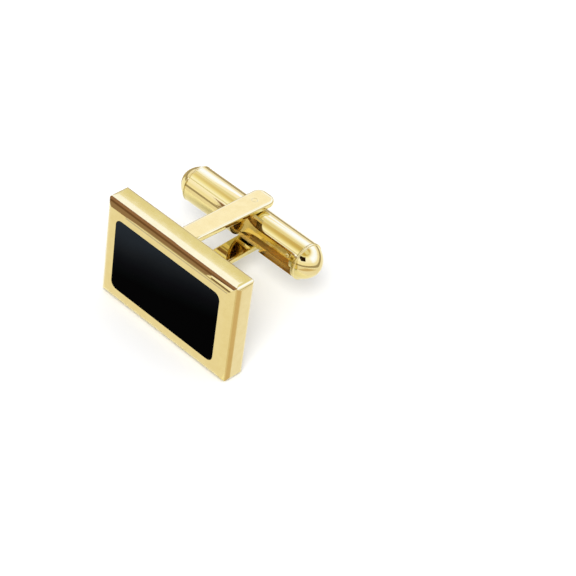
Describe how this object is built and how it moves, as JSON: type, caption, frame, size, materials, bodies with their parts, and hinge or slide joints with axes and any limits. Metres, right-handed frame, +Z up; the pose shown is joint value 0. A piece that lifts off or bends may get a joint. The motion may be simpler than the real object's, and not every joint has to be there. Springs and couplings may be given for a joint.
{
  "type": "cufflink",
  "caption": "Rectangular gold-plated cufflink with a flush black stone and a sprung swivel-bar toggle on a forked post.",
  "frame": {"origin": "Middle of the bottom side of the case, halfway between its front and its back face.", "axes": "+X along the long side of the face, to the right as seen from the front; +Y from the face back to the toggle; +Z up along the short side of the face."},
  "size_m": [0.0211, 0.0165, 0.012],
  "materials": {
    "polished_gold": "mirror-polished gold plating over brass",
    "spring_strip": "gold-plated spring strip, rolled and lightly brushed along its length",
    "black_onyx": "opaque black stone, polished flat",
    "cement": "set epoxy cement",
    "solder": "silver solder film"
  },
  "bodies": {
    "post": {"face_plate": "polished_gold", "inlay_cement": "cement", "onyx_inlay": "black_onyx", "solder_film": "solder", "post_fork": "polished_gold", "pivot_pin": "polished_gold", "cam_block": "polished_gold"},
    "toggle": {"toggle_tube": "polished_gold", "nose_cap_left": "polished_gold", "nose_cap_right": "polished_gold", "leaf_spring": "spring_strip", "spring_seat": "polished_gold", "spring_rivet": "polished_gold"}
  },
  "joints": [
    {"name": "toggle_swivel", "type": "hinge", "parent": "post", "child": "toggle", "pos_m": [-0.0023, 0.0129, 0.006], "axis": [0, 0, 1], "range_deg": [-90, 90]}
  ]
}
